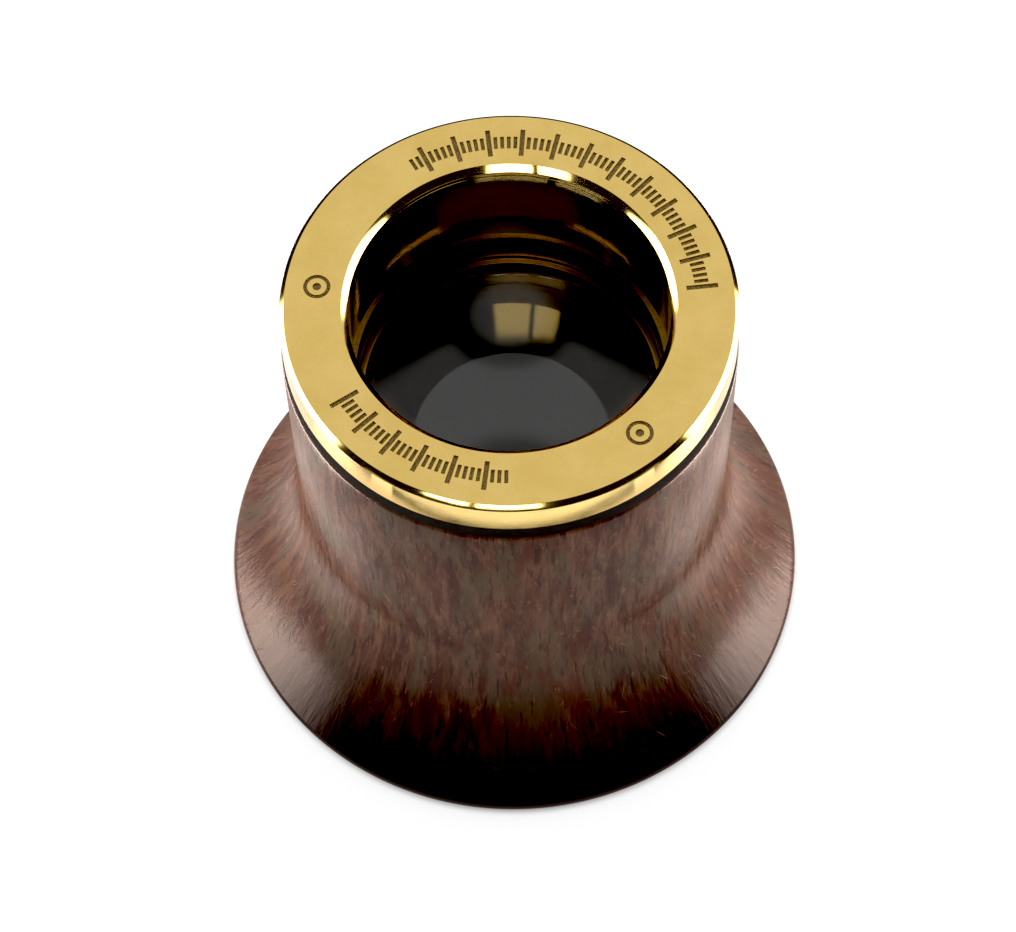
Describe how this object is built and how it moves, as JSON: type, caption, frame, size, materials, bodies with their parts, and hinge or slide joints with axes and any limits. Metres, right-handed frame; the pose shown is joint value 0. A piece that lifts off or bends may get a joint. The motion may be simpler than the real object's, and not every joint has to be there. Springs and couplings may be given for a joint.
{
  "type": "watchmaker's eye loupe",
  "caption": "Watchmaker's eye loupe: a turned wooden eyecup with a screw-in gilt lens barrel, an engraved bezel ring and a biconvex lens held by a threaded retaining ring.",
  "frame": {"origin": "centre of the plane that the eye rim rests on, which is also the bottom centre of the whole loupe", "axes": "+Z is the optical axis, from the eye rim up to the mouth with the bezel ring; X runs through the two spanner notches of the retaining ring"},
  "size_m": [0.0396, 0.0396, 0.0342],
  "materials": {
    "lacquered_wood": "satin lacquer over dark red-brown stained hardwood, fine vertical pores",
    "gilt_brass": "polished gilt, bevels bright, engraving matte",
    "brass": "fine turned brass",
    "black_fibre": "matte hard fibre",
    "black_rubber": "matte rubber",
    "glass": "polished clear optical glass"
  },
  "bodies": {
    "eyecup": {"wooden_eyecup": "lacquered_wood", "neck_bush": "brass"},
    "washer": {"flange_washer": "black_fibre"},
    "barrel": {"lens_barrel": "gilt_brass", "bezel_ring": "gilt_brass", "lens_bedding_ring": "black_rubber"},
    "lens": {"lens": "glass"},
    "retainer": {"retaining_ring": "brass"}
  },
  "joints": [
    {"name": "barrel_turn", "type": "hinge", "parent": "eyecup", "child": "washer", "pos_m": [0, 0, 0.03], "axis": [0, 0, 1], "range_deg": [0, 2160]},
    {"name": "barrel_lift", "type": "slide", "parent": "washer", "child": "barrel", "axis": [0, 0, 1], "range_m": [0, 0.0045]},
    {"name": "retainer_turn", "type": "hinge", "parent": "barrel", "child": "lens", "pos_m": [0, 0, 0.0232], "axis": [0, 0, 1], "range_deg": [0, 3240]},
    {"name": "retainer_lift", "type": "slide", "parent": "lens", "child": "retainer", "axis": [0, 0, 1], "range_m": [0, 0.00315]}
  ],
  "couplings": [
    {"joint": "barrel_lift", "follows": "barrel_turn", "m_per_rad": 0.00011937},
    {"joint": "retainer_lift", "follows": "retainer_turn", "m_per_rad": 0.000055704}
  ]
}
